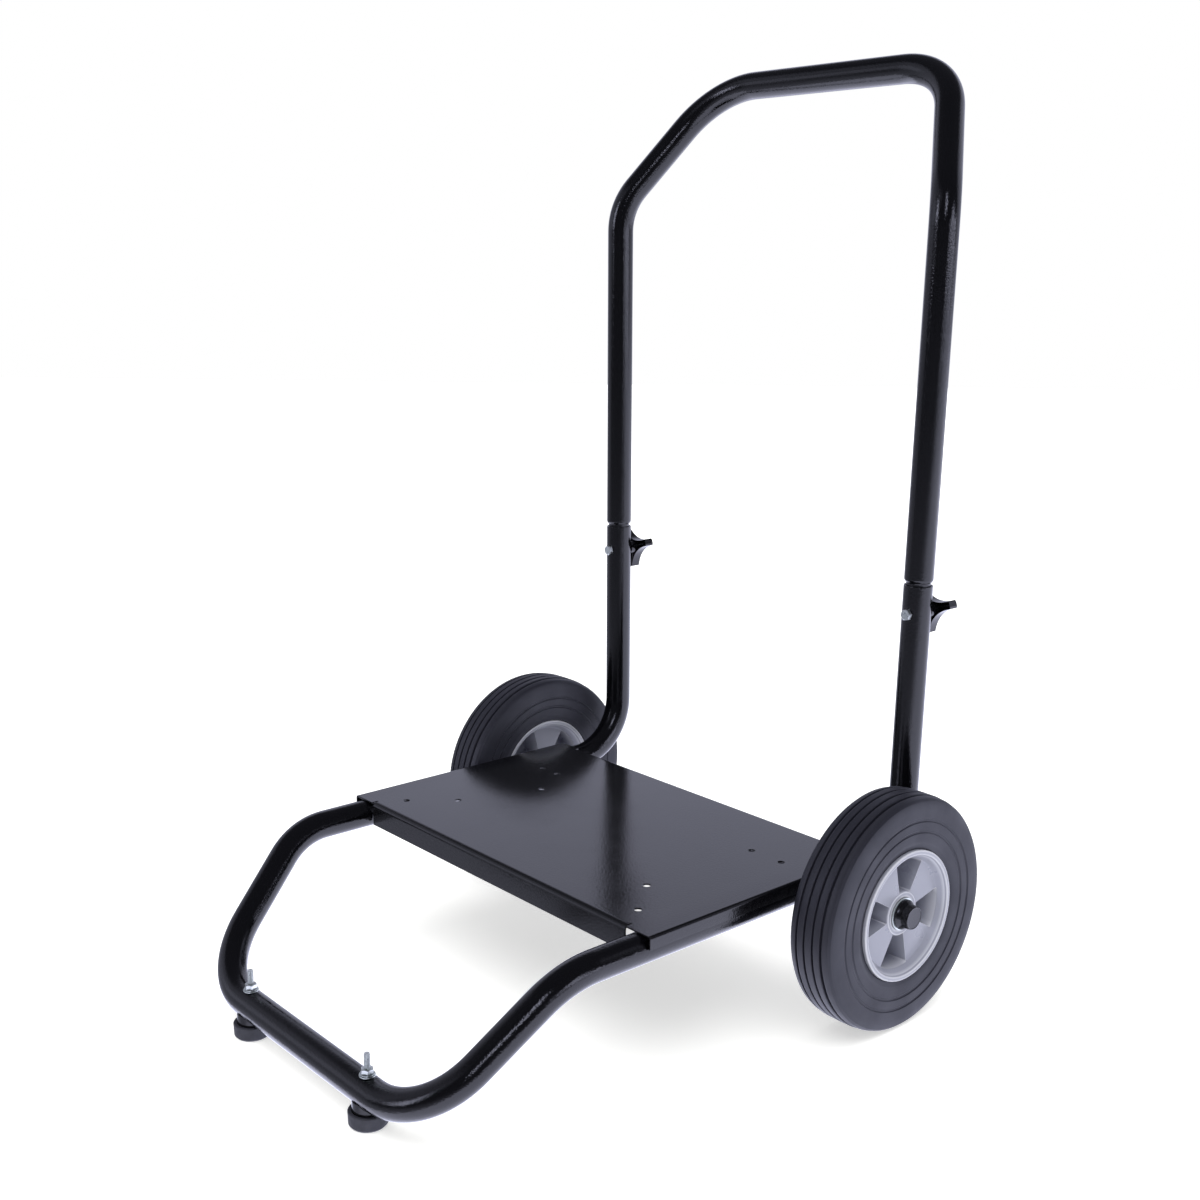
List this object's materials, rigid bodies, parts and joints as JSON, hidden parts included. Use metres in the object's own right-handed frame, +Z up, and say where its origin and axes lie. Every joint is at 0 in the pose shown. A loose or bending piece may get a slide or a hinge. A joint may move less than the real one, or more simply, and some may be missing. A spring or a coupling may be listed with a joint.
{
  "type": "two-wheeled transport cart",
  "caption": "Two-wheeled cart with a bent tube frame, a flat sheet-metal deck with mounting holes, a lift-off push handle held by knobs, solid rubber wheels and rubber feet.",
  "frame": {"origin": "on the floor below the centre of the cart's bounding box", "axes": "+Z up, -Y towards the front bar with the feet, +Y towards the handle, +X towards the wheel called right"},
  "size_m": [0.6646, 0.76, 1.0241],
  "materials": {
    "frame_paint": "glossy black powder coat with a fine orange peel",
    "deck_paint": "semi-gloss black powder coat",
    "zinc": "bright zinc plating",
    "steel": "plain ground steel",
    "brass": "turned brass insert",
    "foot_rubber": "matt moulded black rubber",
    "tyre_rubber": "satin solid rubber, blue-black",
    "rim_plastic": "satin moulded light grey plastic",
    "black_plastic": "semi-gloss moulded black plastic"
  },
  "bodies": {
    "cart": {"frame_tube": "frame_paint", "handle_tube": "frame_paint", "deck_plate": "deck_paint", "axle_bracket_left": "frame_paint", "axle_bracket_right": "frame_paint", "axle": "steel", "axle_spacer_left": "steel", "axle_spacer_right": "steel", "washer_inner_left": "zinc", "washer_inner_right": "zinc", "washer_outer_left": "zinc", "washer_outer_right": "zinc", "push_nut_left": "steel", "push_nut_right": "steel", "axle_cap_left": "black_plastic", "axle_cap_right": "black_plastic", "knob_bolt_left": "zinc", "knob_bolt_right": "zinc", "foot_left": "foot_rubber", "foot_right": "foot_rubber", "foot_saddle_left": "black_plastic", "foot_saddle_right": "black_plastic", "foot_bolt_left": "zinc", "foot_bolt_right": "zinc", "foot_washer_left": "zinc", "foot_washer_right": "zinc", "foot_nut_left": "zinc", "foot_nut_right": "zinc"},
    "wheel_left": {"tyre_left": "tyre_rubber", "rim_left": "rim_plastic", "bearing_inner_left": "steel", "bearing_outer_left": "steel"},
    "wheel_right": {"tyre_right": "tyre_rubber", "rim_right": "rim_plastic", "bearing_inner_right": "steel", "bearing_outer_right": "steel"},
    "knob_left": {"knob_left": "black_plastic", "knob_insert_left": "brass"},
    "knob_right": {"knob_right": "black_plastic", "knob_insert_right": "brass"}
  },
  "joints": [
    {"name": "wheel_left_spin", "type": "hinge", "parent": "cart", "child": "wheel_left", "pos_m": [-0.2967, 0.17376, 0.129], "axis": [1, 0, 0], "continuous": true},
    {"name": "wheel_right_spin", "type": "hinge", "parent": "cart", "child": "wheel_right", "pos_m": [0.2967, 0.17376, 0.129], "axis": [1, 0, 0], "continuous": true},
    {"name": "knob_left_turn", "type": "hinge", "parent": "cart", "child": "knob_left", "pos_m": [-0.24154, 0.3, 0.4283], "axis": [0, 1, 0], "continuous": true},
    {"name": "knob_right_turn", "type": "hinge", "parent": "cart", "child": "knob_right", "pos_m": [0.24154, 0.3, 0.4283], "axis": [0, 1, 0], "continuous": true}
  ]
}
